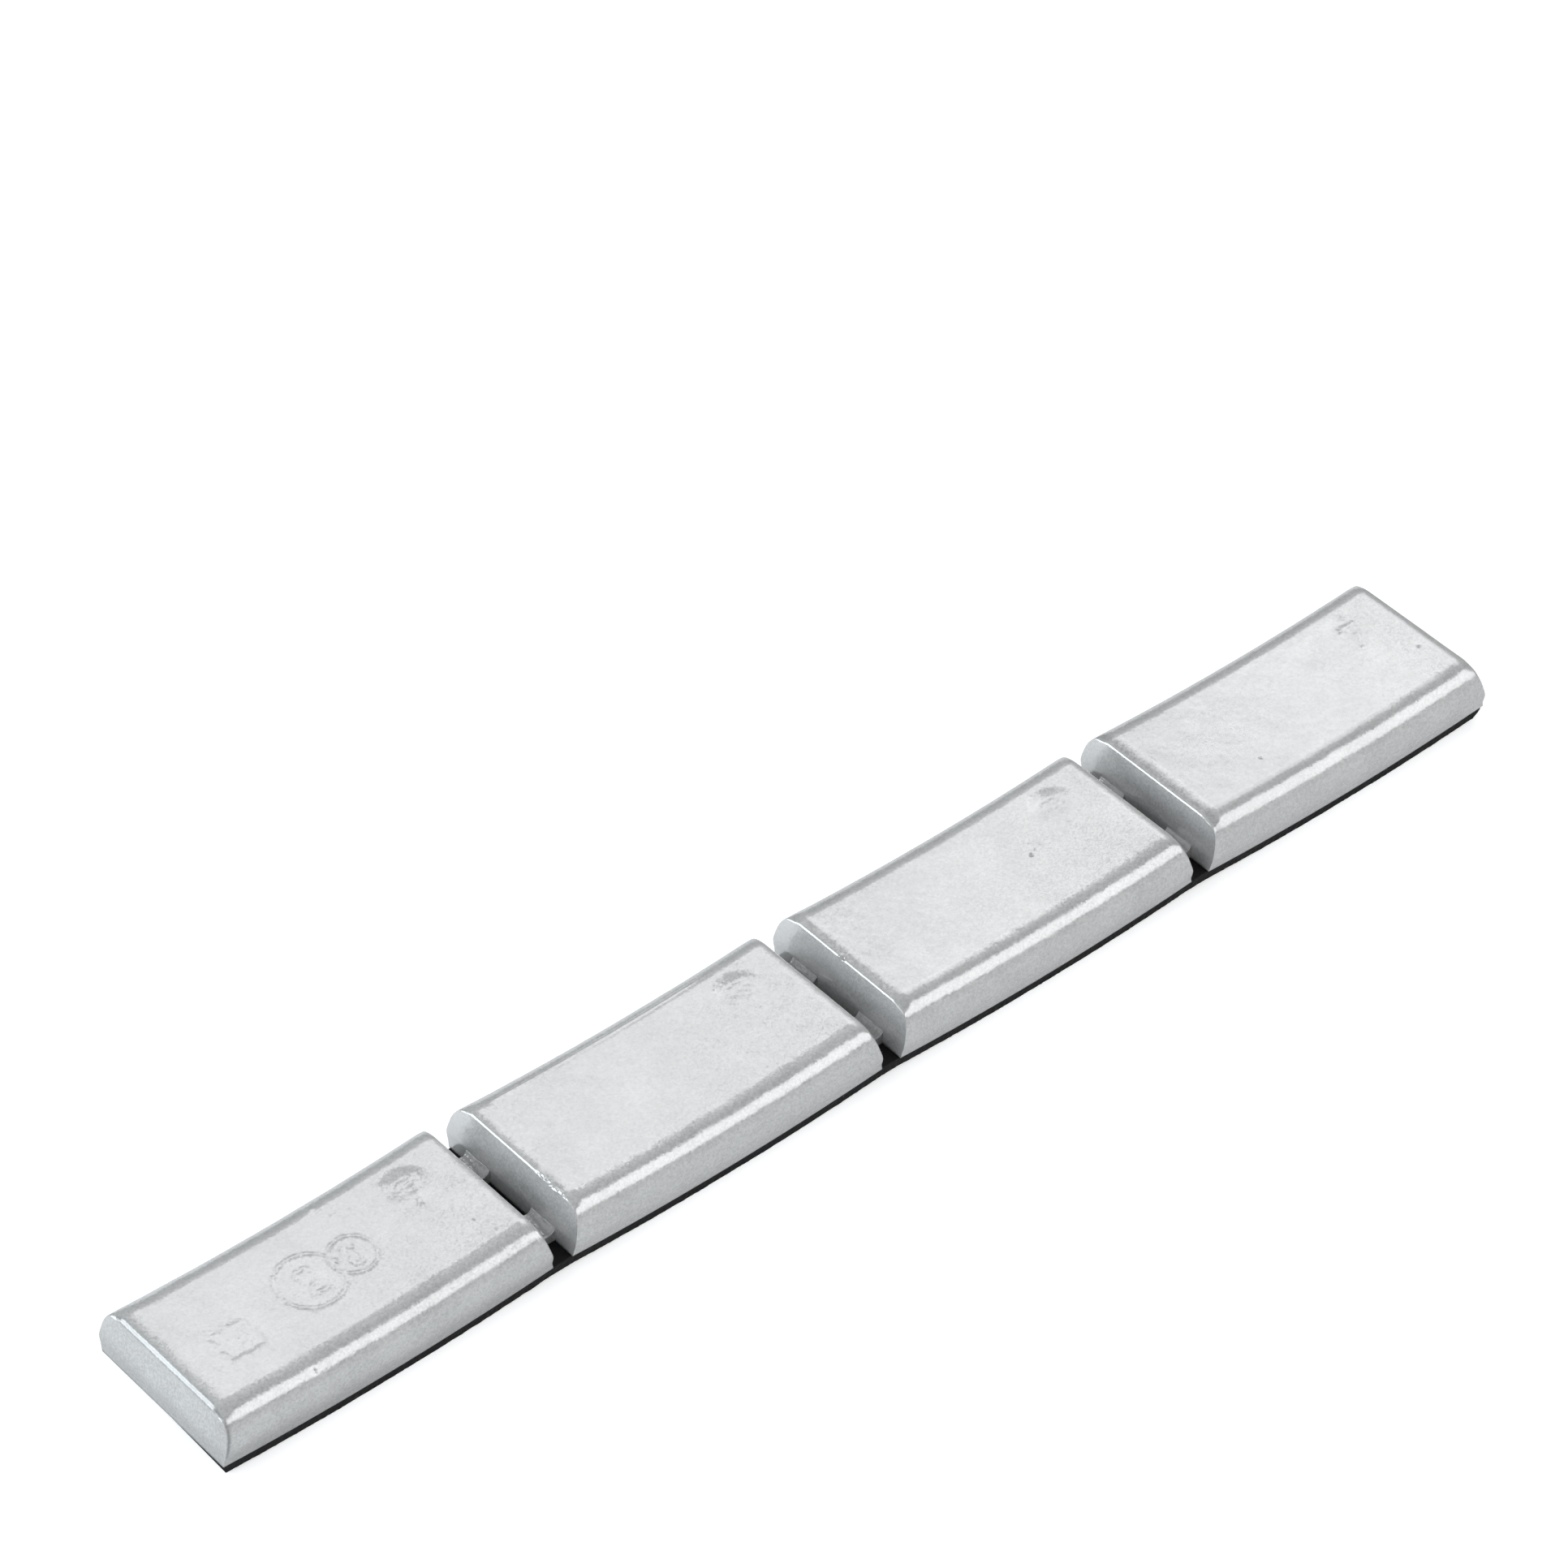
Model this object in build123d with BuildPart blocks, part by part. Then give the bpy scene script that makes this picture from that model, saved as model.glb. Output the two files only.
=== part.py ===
from build123d import *
import os
from math import cos, degrees, radians, sin, tan

# Stick-on wheel balance weight: a row of zinc blocks, cast in one piece with thin break-off webs, on foam
# tape. Millimetres. X runs along the strip and Z is up. The origin is under the middle of the strip, level
# with the flats that the tape rests on. Each block is bent lengthwise to lie inside a rim, so its underside
# is convex.

# Row of blocks
block_count = 4
block_gap = 1.9  # between neighbours, at the parting line

# Lengthwise bend of a block, at its underside
bend_radius = 238.0

# Block section, across the strip
block_width = 17.8  # over the sharp parting line, before it is rounded
block_height = 5.2
parting_height = 1.7  # of the widest line, above the underside
side_tuck = 0.5  # how far each long side draws in from the parting line to the underside
side_draft = 10.0  # degrees, from the parting line up
top_round = 2.7
parting_round = 2.5

# Block ends, along the strip
block_length = 34.6  # over the parting line
end_tuck = 0.1
end_draft = 10.5  # degrees
end_parting_round = 1.0
roll_width = 1.2  # the top rolls off over this length before each end
roll_drop = 0.26  # and falls by this much
rim_round = 0.25  # edge between an end face and the rest of the block

# Webs, two in each gap
web_width = 3.2
web_spread = 8.8  # centre to centre, across the strip
web_thickness = 1.0
web_root = 0.5  # sunk into the block at each end

# Foam tape
tape_thickness = 0.9  # under the middle of a block, where it rests
tape_give = 0.03  # the ground presses the foam flat there by this much
tape_margin = 0.1  # from the long edges of the underside
first_setback = 1.35  # from the end of the first block's underside, at the middle of the cut
first_skew = 7.5  # degrees, the first end being cut out of square
last_setback = 0.15
last_bevel_height = 0.55  # pinched lower edge of the last end
last_bevel_length = 0.9

# Clear skin over the top, so that the end cutter crosses the top at a small angle
top_skin = 0.01

block_pitch = block_length + block_gap
foot_width = block_width - 2 * side_tuck
foot_length = block_length - 2 * end_tuck
edge_height = block_height - roll_drop
edge_length = block_length - 2 * (edge_height - parting_height) * tan(radians(end_draft))
tape_width = foot_width - 2 * tape_margin


def bent(along, height):
    """Point of a bent block in XZ, from its place along the underside and its height above it."""
    turn = along / bend_radius
    reach = bend_radius - height
    return (reach * sin(turn), bend_radius - reach * cos(turn))


def other_end(point):
    """The same point at the block's other end."""
    return (-point[0], point[1])


# Corners of a block's end, seen from the side
foot_point = bent(foot_length / 2, 0)
parting_point = bent(block_length / 2, parting_height)
edge_point = bent(edge_length / 2, edge_height)
roll_along = edge_length / 2 - roll_width
roll_point = bent(roll_along, block_height + top_skin)
crown_point = bent(0, block_height + top_skin)
roll_turn = roll_along / bend_radius

# The tuck's line, carried on below the underside for the cutter
tuck_slope = (parting_point[0] - foot_point[0]) / (parting_point[1] - foot_point[1])
cutter_foot = (foot_point[0] - tuck_slope * (foot_point[1] + block_height), -block_height)

# One block, with the middle of its underside at the origin
with BuildPart() as block:
    with BuildSketch(Plane.YZ) as section:
        half_top = block_width / 2 - (block_height - parting_height) * tan(radians(side_draft))
        with BuildLine():
            Polyline(
                (-foot_width / 2, 0),
                (foot_width / 2, 0),
                (block_width / 2, parting_height),
                (half_top, block_height),
                (-half_top, block_height),
                (-block_width / 2, parting_height),
                close=True,
            )
        make_face()
        fillet(section.vertices().group_by(Axis.Y)[-1], radius=top_round)
        fillet(section.vertices().group_by(Axis.Y)[1], radius=parting_round)
    half_turn = degrees((block_length / 2 + block_gap) / bend_radius)
    revolve(axis=Axis((0, 0, bend_radius), (0, 1, 0)), revolution_arc=half_turn)
    mirror(about=Plane.YZ)

    # Both ends at once: tucked in below the parting line, drafted above it and rolled off at the top
    with BuildSketch(Plane.XZ):
        with BuildLine():
            ThreePointArc(other_end(roll_point), crown_point, roll_point)
            TangentArc(roll_point, edge_point, tangent=(cos(roll_turn), sin(roll_turn)))
            Polyline(
                edge_point,
                parting_point,
                cutter_foot,
                other_end(cutter_foot),
                other_end(parting_point),
                other_end(edge_point),
            )
            TangentArc(
                other_end(roll_point), other_end(edge_point), tangent=(-cos(roll_turn), sin(roll_turn))
            )
        make_face()
    extrude(amount=block_width, both=True, mode=Mode.INTERSECT)

    # Soft parting line on the ends, then a small round along the end's outline above the underside
    ends = block.faces().filter_by(lambda face: abs(face.normal_at().X) > 0.9)
    fillet(ends.edges().filter_by(Axis.Y).group_by(Axis.Z)[1], radius=end_parting_round)
    ends = block.faces().filter_by(lambda face: abs(face.normal_at().X) > 0.9)
    end_sides = ends.edges().filter_by(Axis.Y, reverse=True)
    end_tops = ends.edges().filter_by(Axis.Y).group_by(Axis.Z)[-1]
    fillet(end_sides + end_tops, radius=rim_round)

# The blocks in their row, and the webs between their feet
gap_level = tape_thickness + foot_point[1]
gap_width = block_pitch - 2 * foot_point[0]
with BuildPart() as casting:
    with Locations((0, 0, tape_thickness)):
        with GridLocations(block_pitch, 0, block_count, 1):
            add(block.part)
    with BuildSketch(Plane.XY.offset(gap_level)):
        with GridLocations(block_pitch, web_spread, block_count - 1, 2):
            Rectangle(gap_width + 2 * web_root, web_width)
    extrude(amount=web_thickness)
casting.part.label = "casting"

# Tape that follows the bent undersides, runs straight across the gaps and is pressed flat where it rests
row = [(i - (block_count - 1) / 2) * block_pitch for i in range(block_count)]
tape_turn = foot_length / 2 / bend_radius
tape_radius = bend_radius + tape_thickness + tape_give
tape_foot = (tape_radius * sin(tape_turn), bend_radius + tape_thickness - tape_radius * cos(tape_turn))
with BuildPart() as foam_tape:
    with BuildSketch(Plane.XZ):
        with BuildLine():
            for x in row:
                ThreePointArc(
                    (x - foot_point[0], gap_level), (x, tape_thickness), (x + foot_point[0], gap_level)
                )
                ThreePointArc(
                    (x - tape_foot[0], tape_foot[1]), (x, -tape_give), (x + tape_foot[0], tape_foot[1])
                )
            for x in row[:-1]:
                Line((x + foot_point[0], gap_level), (x + block_pitch - foot_point[0], gap_level))
                Line((x + tape_foot[0], tape_foot[1]), (x + block_pitch - tape_foot[0], tape_foot[1]))
            for x, way in ((row[0], -1), (row[-1], 1)):
                Line((x + way * foot_point[0], gap_level), (x + way * tape_foot[0], tape_foot[1]))
        make_face()
    extrude(amount=tape_width / 2, both=True)
    split(bisect_by=Plane.XY, keep=Keep.TOP)
    first_cut = Plane(
        origin=(row[0] - foot_point[0] + first_setback, 0, 0),
        z_dir=(cos(radians(first_skew)), -sin(radians(first_skew)), 0),
    )
    split(bisect_by=first_cut, keep=Keep.TOP)
    last_cut = Plane(origin=(row[-1] + foot_point[0] - last_setback, 0, 0), z_dir=(-1, 0, 0))
    split(bisect_by=last_cut, keep=Keep.TOP)
    last_face = foam_tape.faces().sort_by(Axis.X)[-1]
    lower_edge = last_face.edges().sort_by(Axis.Z)[0]
    chamfer(lower_edge, length=last_bevel_height, length2=last_bevel_length, reference=last_face)
foam_tape.part.label = "foam_tape"

os.makedirs("parts", exist_ok=True)
export_step(casting.part, "parts/casting.step")
export_step(foam_tape.part, "parts/foam_tape.step")
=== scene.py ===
import math

import bpy
import numpy as np
from bpy.props import FloatProperty, FloatVectorProperty, IntProperty, PointerProperty
from bpy.types import Operator, Panel, PropertyGroup
from mathutils import Matrix, Vector


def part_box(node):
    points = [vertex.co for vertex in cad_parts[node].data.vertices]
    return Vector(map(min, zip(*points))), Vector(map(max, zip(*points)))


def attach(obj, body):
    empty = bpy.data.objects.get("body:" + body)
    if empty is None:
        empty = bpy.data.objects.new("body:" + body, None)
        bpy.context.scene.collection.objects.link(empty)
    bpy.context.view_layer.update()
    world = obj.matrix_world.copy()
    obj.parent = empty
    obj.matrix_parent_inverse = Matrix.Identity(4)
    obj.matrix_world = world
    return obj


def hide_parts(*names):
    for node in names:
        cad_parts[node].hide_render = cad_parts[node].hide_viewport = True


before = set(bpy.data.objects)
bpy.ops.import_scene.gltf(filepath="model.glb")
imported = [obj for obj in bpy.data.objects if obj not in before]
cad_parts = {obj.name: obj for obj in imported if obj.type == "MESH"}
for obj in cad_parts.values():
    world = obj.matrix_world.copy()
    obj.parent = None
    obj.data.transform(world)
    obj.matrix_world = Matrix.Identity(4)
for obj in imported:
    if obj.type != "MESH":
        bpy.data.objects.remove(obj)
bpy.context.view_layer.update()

# Looks of a stick-on wheel balance weight: painted cast blocks, the break-off webs between them and the
# foam tape. Metres, in the frame's own axes: X along the strip, -Y towards the camera, Z up from the flats
# under the tape. A place on a block is along, across and up from the middle of its underside, before the
# block is bent. Blocks and gaps are numbered from 0, from the strip's first end on the left.

bl_info = {
    "name": "Wheel balance weight",
    "version": (1, 0, 0),
    "blender": (4, 5, 0),
    "location": "View3D > Sidebar > Balance weight",
    "description": "Builds the painted blocks, webs and foam tape of a stick-on weight on its stage",
    "category": "Add Mesh",
}

MM = 0.001
PAINT_NAME = "flaked_silver_paint"
FOAM_NAME = "cut_black_foam"
# Attribute that holds each point's painted shade, and painted light where it is below 0
SHADE_ATTRIBUTE = "grime"
TAPE_LOW, TAPE_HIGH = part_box("foam_tape")


def mm(*lengths):
    """Lengths in metres, from millimetres."""
    return tuple(length * MM for length in lengths)


# Steps along each straight run and round each corner of a section, counter-clockwise from its front foot
BLOCK_RUNS = (20, 5, 4, 104, 4, 5)
BLOCK_ARCS = (2, 2, 4, 58, 34, 4)
WEB_RUNS = (8, 8, 32, 8)
WEB_ARCS = (2, 2, 6, 6)
TAPE_RUNS = (12, 8, 12, 8)
TAPE_ARCS = (4, 4, 4, 4)
# Rings of a block: on an end face, round its rim, in the zone behind it, and between the two ends' zones
FACE_RINGS = 8
RIM_RINGS = 9
ZONE_RINGS = 24
MIDDLE_RINGS = 299
# How far that zone of closer rings reaches, and the innermost ring's share of the end face's size
END_ZONE = 2.2 * MM
FACE_MIDDLE = 0.12
# Rings of a web, and of the tape: along it, on each end, and the innermost ring's share of an end's size
WEB_RINGS = 41
TAPE_RINGS = 900
TAPE_END_RINGS = 6
TAPE_END_MIDDLE = 0.1
# Unevenness of the paint, of the webs and of the tape's cut: share, wavelength and seed of each wave
PAINT_WAVES = ((1.0, 3.5 * MM, 10), (0.35, 1.1 * MM, 20))
WEB_WAVES = ((1.0, 1.4 * MM, 40), (0.25, 0.5 * MM, 50))
TAPE_WAVES = ((0.6, 1.3 * MM, 60), (0.8, 0.45 * MM, 61))
# Lengths of the waves in a ripple, as shares of its wavelength
WAVE_SPREAD = (0.7, 1.4)

# Cast marks on the first block, along and across it: two rings with a figure in each, and a sunk plate
LARGE_RING = mm(-1.7, 0.1)
LARGE_RING_RADIUS = 3.1 * MM
SMALL_RING = mm(2.9, 0.2)
SMALL_RING_RADIUS = 2.15 * MM
RING_WIDTH = 0.4 * MM
PLATE = mm(-10.6, -1.4)
PLATE_HALF = 2.0 * MM
PLATE_ROUND = 0.6 * MM
# The plate's depth as a share of the marks' height, the width of its sloping wall, and its edge's ripple
PLATE_DEPTH = 1.1
PLATE_WALL = 0.6 * MM
PLATE_SWAY = 0.05 * MM
PLATE_SWAY_WAVE = 1.2 * MM
PLATE_SEED = 39
# A round recess near the far right corner of every block, the width of its sloping wall, and the places
# across, as shares of its radius, between which it deepens
RECESS = mm(11.2, 3.1)
RECESS_RADIUS = 2.7 * MM
RECESS_WALL = 1.5 * MM
RECESS_DEEPENS = (-0.7, 0.8)
# Place of the figure in it, and the share of the recess's depth and of the figure that each block has
FIGURE_PLACE = mm(11.4, 2.5)
RECESS_DEPTH = (1.0, 0.85, 0.85, 0.3)
FIGURE_LEFT = (1.2, 0.7, 0.6, 1.6)
# Height and line width of the figures in the large ring, in the small ring and in the recesses
LARGE_FIGURE = mm(3.0, 0.6)
SMALL_FIGURE = mm(2.4, 0.55)
RECESS_FIGURE = mm(2.8, 0.7)
# A faint sunk ring on the last block, and its depth as a share of the marks' height
FAINT_RING = mm(1.5, 1.0)
FAINT_RING_RADIUS = 4.6 * MM
FAINT_RING_WIDTH = 0.9 * MM
FAINT_RING_DEPTH = 0.2
# Wear of the marks: what it leaves at the least, and the ripple that it follows from most worn to least
WORN_SHARE = 0.7
WEAR_WAVE = 0.8 * MM
WEAR_LEVELS = (-0.8, 0.8)
WEAR_SEED = 30
# Ripple of the rough skin round the marks
SKIN_WAVE = 0.5 * MM
SKIN_SEED = 34

# The top rolls off before each first end: where that begins, where it is at its full slope, the degrees
FIRST_ROLLS = (
    (2.0 * MM, 0.35 * MM, 14.0),
    (1.2 * MM, 0.25 * MM, 18.0),
    (1.25 * MM, 0.65 * MM, 19.0),
    (1.5 * MM, 0.5 * MM, 21.0),
)
# The same before every last end
LAST_ROLL = (1.1 * MM, 0.0, 24.0)
# Share of the roll-off on the long sides at a first end and a last end
SIDE_ROLL = (0.08, 0.35)
# How far the top of each first end is set in, and the heights between which that grows
FIRST_SET_IN = mm(0.0, 0.12, 0.1, 0.1)
SET_IN_HEIGHTS = mm(2.8, 4.9)
# How soft the parting line is on the ends
PARTING_SOFTNESS = 0.02 * MM
# Edge round of the very first end, which is softer than the rest
FIRST_RIM = 0.42 * MM
# Edge round down the corners of a first end and a last end, as a share of that along the top
CORNER_SHARE = (0.3, 1.6)
# Height over which the paint, the rims and the roll-off fade in above the underside
FOOT_FADE = 0.9 * MM
# Upward parts of the section's normal between which the roll-off, the rim and the cast marks come in
ROLL_FACING = (0.7, 0.97)
RIM_FACING = (0.6, 0.9)
MARK_FACING = (0.9, 0.995)
# How far the paint lies inside the solid, so that its waves stay in it
PAINT_INSET = 0.016 * MM

# Flaws of the blocks, by the block's number and in millimetres
# Pits in the paint: along, across, radius, depth
PITS = {
    0: [(13.06, -3.51, 0.1, 0.04)],
    2: [(5.38, -0.12, 0.17, 0.08), (6.10, 0.25, 0.10, 0.04), (-16.5, 0.5, 0.14, 0.02)],
    3: [(14.56, -2.49, 0.13, 0.06), (-7.08, -3.94, 0.13, 0.06)],
}
# Patches of rough skin: along, across, radius
ROUGH_PATCHES = {
    0: [
        (-1.7, 0.1, 3.6), (2.9, 0.2, 2.6), (-10.6, -1.4, 2.4), (-6.57, -3.43, 0.9), (-4.83, -0.07, 0.7),
        (4.84, 4.03, 0.6), (4.3, 5.0, 0.6), (3.7, 6.0, 0.6), (11.4, 3.3, 1.9),
    ],
    1: [(11.4, 3.3, 1.5)],
    2: [(11.4, 3.3, 1.5)],
    3: [(11.4, 3.3, 1.7)],
}
# Burrs, and nicks, whose height is below 0: along, across, up, width, height outwards
BURRS = {
    0: [(3.37, 6.62, 5.1, 0.6, 0.05), (-7.4, -7.78, 4.54, 0.5, -0.05)],
    1: [(-17.3, -5.2, 1.3, 0.55, 0.22)],
    2: [
        (-16.56, 0.85, 4.92, 0.35, 0.1), (-16.56, 0.5, 4.92, 0.32, -0.24),
        (17.3, -8.3, 1.5, 0.4, 0.16), (17.3, -7.9, 1.2, 0.35, 0.1),
    ],
}

# A stretch has four places: what it bounds grows between the first two and fades between the last two

# A fine ridge along the second block's back edge: its stretch along, its place across at the block's
# middle, how far it moves outwards for each metre along, its width and its height
RIDGE_BLOCK = 1
RIDGE_STRETCH = mm(-15.5, -12.5, 7.0, 13.0)
RIDGE_ACROSS = 6.65 * MM
RIDGE_SLANT = 0.0128
RIDGE_WIDTH = 0.4 * MM
RIDGE_HEIGHT = 0.055 * MM
# Ragged rim of the second block's first end, near the front corner: its stretch across, its place along,
# its width, the heights over which it grows, how far it stands out, and its ripple
RAGGED_BLOCK = 1
RAGGED_STRETCH = mm(-6.8, -5.8, -3.0, -2.0)
RAGGED_ALONG = -16.5 * MM
RAGGED_WIDTH = 0.5 * MM
RAGGED_LEVELS = mm(4.7, 4.85)
RAGGED_HEIGHT = 0.045 * MM
RAGGED_WAVE = 0.35 * MM
RAGGED_SEED = 70
# Dark crease down the front corner of the very first end: how far from the end, its width, its depth, its
# stretch up, and what counts as the front
CREASE_PLACE = 0.16 * MM
CREASE_WIDTH = 0.34 * MM
CREASE_DEPTH = 0.03 * MM
CREASE_STRETCH = mm(0.2, 1.8, 3.6, 4.8)
CREASE_FRONT = -7.0 * MM
# How far the crease sways, the height at which it is in the middle, and the height for one radian of sway
CREASE_SWAY = 0.07 * MM
CREASE_SWAY_LEVEL = 1.6 * MM
CREASE_SWAY_LENGTH = 0.9 * MM

# What is above this height is on the top, and what is this close to an end is on its face
TOP_LEVEL = 4.0 * MM
END_SKIN = 0.02 * MM
# Heights between which an end face passes into its rim
END_TOP = mm(4.5, 4.8)
# Painted shade on each block's first end face in the gap, with its stretch up and its fall across
END_SHADE = (0.0, 0.1, 0.2, 0.28)
END_SHADE_STRETCH = mm(1.0, 3.0, 3.2, 4.6)
END_SHADE_ACROSS = mm(3.0, 5.5)
# Painted shade on the roll-off before each first end, with its stretch from the end, and on each gap's webs
ROLL_SHADE = (0.0, 0.0, 0.06, 0.22)
ROLL_SHADE_STRETCH = mm(0.15, 0.3, 0.6, 1.1)
WEB_SHADE = (0.2, 0.37, 0.25)
# Painted shade in the pits, in the crease and along the cast lines, in dots on a ripple's crests
PIT_SHADE = 0.4
CREASE_SHADE = 0.6
LINE_SHADE = 0.14
LINE_SHADE_WIDTH = 0.5 * MM
PLATE_SHADE_WIDTH = 0.6 * MM
DOT_WAVE = 0.6 * MM
DOT_LEVELS = (-0.6, 0.9)
DOT_SEED = 38
# Painted shade on the very first end's rim, with its heights and reach from the end, and low on that block
RIM_SHADE = 0.45
RIM_SHADE_HEIGHTS = mm(4.4, 4.7)
RIM_SHADE_REACH = mm(0.12, 0.3)
LOW_SHADE = 0.22
LOW_SHADE_HEIGHTS = mm(0.9, 2.8)
# Painted light at the back of the first ends in the gaps, and where across it lies
BACK_PAINTED_LIGHT = 1.0
BACK_PAINTED_LIGHT_ACROSS = mm(4.5, 7.0)

# Edge rounds of a web, the length over which its flare dies away, and the shares of its height between
# which its roughness grows
WEB_FOOT_ROUND = 0.05 * MM
WEB_TOP_ROUND = 0.1 * MM
WEB_FLARE_LENGTH = 0.3 * MM
WEB_ROUGH_FROM = (0.2, 0.9)

# Silver paint: sizes of its clouds and its orange peel, and how far its flakes lean
CLOUD_SIZE = 4.0 * MM
PEEL_SIZE = 0.8 * MM
FLAKE_TILT = 0.055
# How far flakes, grain, clouds and painted light change its tone, and grain and flakes its roughness
FLAKE_TONE = 0.5
GRAIN_TONE = 0.65
CLOUD_TONE = 0.5
PAINTED_LIGHT_TONE = 0.5
GRAIN_ROUGHNESS = 0.12
FLAKE_ROUGHNESS = 0.06
# Height and strength of its bump, and the grain's share in it beside the peel
PAINT_BUMP = 0.008 * MM
PAINT_BUMP_STRENGTH = 0.2
GRAIN_BUMP = 0.4

# Black foam: sizes of its dust and its scuffs, and how the scuffs are drawn out along the strip
DUST_SIZE = 1.6 * MM
SCUFF_SIZE = 0.22 * MM
SCUFF_SCALE = (0.35, 1.0, 1.0)
# Noise at which a scuff begins and is palest
SCUFF_LEVELS = (0.66, 0.78)
# How far scuffs, dust and cells change its tone, and the values at which dust and cells leave it as it is
SCUFF_TONE = 1.6
DUST_TONE = 0.12
DUST_MIDDLE = 0.45
CELL_TONE = 0.05
CELL_MIDDLE = 0.3
# Its mean roughness, the dust's part in that, and its specular level
FOAM_ROUGHNESS = 0.62
DUST_ROUGHNESS = 0.3
FOAM_SPECULAR = 0.2
# Height and strength of its bump, and the shares of cells and dust in it
FOAM_BUMP = 0.05 * MM
FOAM_BUMP_STRENGTH = 0.6
CELL_BUMP = 0.8
DUST_BUMP = 0.3

# Floor: half its side, its points along a side, and how far it lies under the tape
FLOOR_HALF = 3.0
FLOOR_POINTS = 9
FLOOR_DROP = 0.01 * MM
# Share of the floor's lift that shows in reflections
MIRROR_SHARE = 0.4
# Where the back glow lies, and the part of a ray's direction along that at which it begins and is full
BACK_GLOW_WAY = (0.48, 0.45, 0.755)
BACK_GLOW_RANGE = (0.81, 1.0)
# The same for the low glow, which is low down as well as near or on the left
UP = (0.0, 0.0, 1.0)
LOW_GLOW_RANGE = (0.45, 0.2)
NEAR_LEFT = (-0.71, -0.71, 0.0)
NEAR_LEFT_RANGE = (-0.25, 0.0)
WHITE = (1.0, 1.0, 1.0, 1.0)
# Lamps: azimuth and elevation in degrees and distance, what the length is square to, length and width
LAMPS = {
    "back_lamp": ((50.3, 44.6, 1.0), (0.0, 0.78, -0.63), 0.66, 0.20),
    "upper_lamp": ((29.4, 48.2, 1.0), (0.62, 0.37, -0.65), 0.31, 0.20),
    "front_lamp": ((-50.0, 40.0, 0.55), (1.0, 0.0, 0.0), 0.33, 0.37),
    "left_lamp": ((141.0, 19.0, 1.0), (0.0, 1.0, 0.0), 0.8, 0.35),
    "side_lamp": ((180.0, 44.0, 0.45), (0.0, 1.0, 0.0), 0.32, 0.32),
}
COOL_LAMPS = ("left_lamp", "side_lamp")
# Its mirror image would draw a white line round the front corners of the first ends
UNMIRRORED_LAMP = "side_lamp"
CAMERA_CLIP = 0.01


# Settings


def length_setting(name, description, millimetres):
    """A length, given in millimetres."""
    return FloatProperty(name=name, description=description, default=millimetres * MM, unit="LENGTH")


def angle_setting(name, description, degrees):
    """An angle, given in degrees."""
    return FloatProperty(name=name, description=description, default=math.radians(degrees), subtype="ANGLE")


def share_setting(name, description, default):
    """A share from 0 to 1."""
    return FloatProperty(
        name=name, description=description, default=default, min=0.0, max=1.0, subtype="FACTOR"
    )


def light_setting(name, description, default):
    """A strength of light that isn't below 0."""
    return FloatProperty(name=name, description=description, default=default, min=0.0)


def power_setting(name, description, default):
    """A lamp's power in watts."""
    return FloatProperty(name=name, description=description, default=default, unit="POWER")


def colour_setting(name, description, default):
    """A colour, as red, green and blue from 0 to 1."""
    return FloatVectorProperty(
        name=name, description=description, default=default, subtype="COLOR", size=3, min=0.0, max=1.0
    )


class CastingSettings(PropertyGroup):
    """Sizes of the cast blocks."""

    block_count: IntProperty(name="Blocks", description="Blocks in the row", default=4, min=1)
    block_pitch: length_setting("Pitch", "From the middle of a block to the next", 36.5)
    block_length: length_setting("Length", "Of a block, over its parting line", 34.6)
    block_width: length_setting("Width", "Over the sharp parting line", 17.8)
    block_height: length_setting("Height", "From the underside to the top", 5.2)
    bend_radius: length_setting("Bend radius", "Lengthwise bend, at the underside", 238.0)
    parting_height: length_setting("Parting height", "Of the widest line", 1.7)
    side_tuck: length_setting("Side tuck", "From the parting line in to the underside", 0.5)
    side_draft: angle_setting("Side draft", "Of the long sides", 10.0)
    end_tuck: length_setting("End tuck", "From the parting line in to the underside", 0.1)
    end_draft: angle_setting("End draft", "Of the end faces", 10.5)
    top_round: length_setting("Top round", "Of the long top edges", 2.7)
    parting_round: length_setting("Parting round", "Of the long sides' widest line", 2.5)
    foot_round: length_setting("Foot round", "Of the paint at the underside's edge", 0.1)
    rim_round: length_setting("Rim round", "Edge of an end face", 0.17)
    mark_height: length_setting("Mark height", "Of the raised lines and figures", 0.035)
    skin_roughness: length_setting("Skin roughness", "Height of the rough skin round the marks", 0.0035)
    recess_depth: length_setting("Recess depth", "Of the round recess, at its back", 0.17)
    paint_wave: length_setting("Paint wave", "Height of the slow waves in the paint", 0.004)


class WebSettings(PropertyGroup):
    """Sizes of the break-off webs."""

    width: length_setting("Width", "Across the strip", 3.2)
    spread: length_setting("Spread", "Between the two webs of a gap, middle to middle", 8.8)
    thickness: length_setting("Thickness", "Above the tape", 1.0)
    root: length_setting("Root", "Sunk into the block", 0.4)
    flare: length_setting("Flare", "Rise of the web where it meets a block", 0.55)
    roughness: length_setting("Roughness", "Height of the rough cast top", 0.03)


class TapeSettings(PropertyGroup):
    """Sizes of the foam tape."""

    thickness: length_setting("Thickness", "Of the tape", 0.9)
    give: length_setting("Give", "The ground presses the foam flat by this much", 0.03)
    width: length_setting("Width", "Across the strip", (TAPE_HIGH.y - TAPE_LOW.y) / MM)
    first_skew: angle_setting("First skew", "The first end is cut out of square", 7.5)
    bevel_height: length_setting("Bevel height", "Of the last end's pinched lower edge", 0.55)
    bevel_length: length_setting("Bevel length", "Along the strip", 0.9)
    edge_round: length_setting("Edge round", "Of the cut edges", 0.07)
    cut_roughness: length_setting("Cut roughness", "Height of the uneven cut", 0.018)


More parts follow.
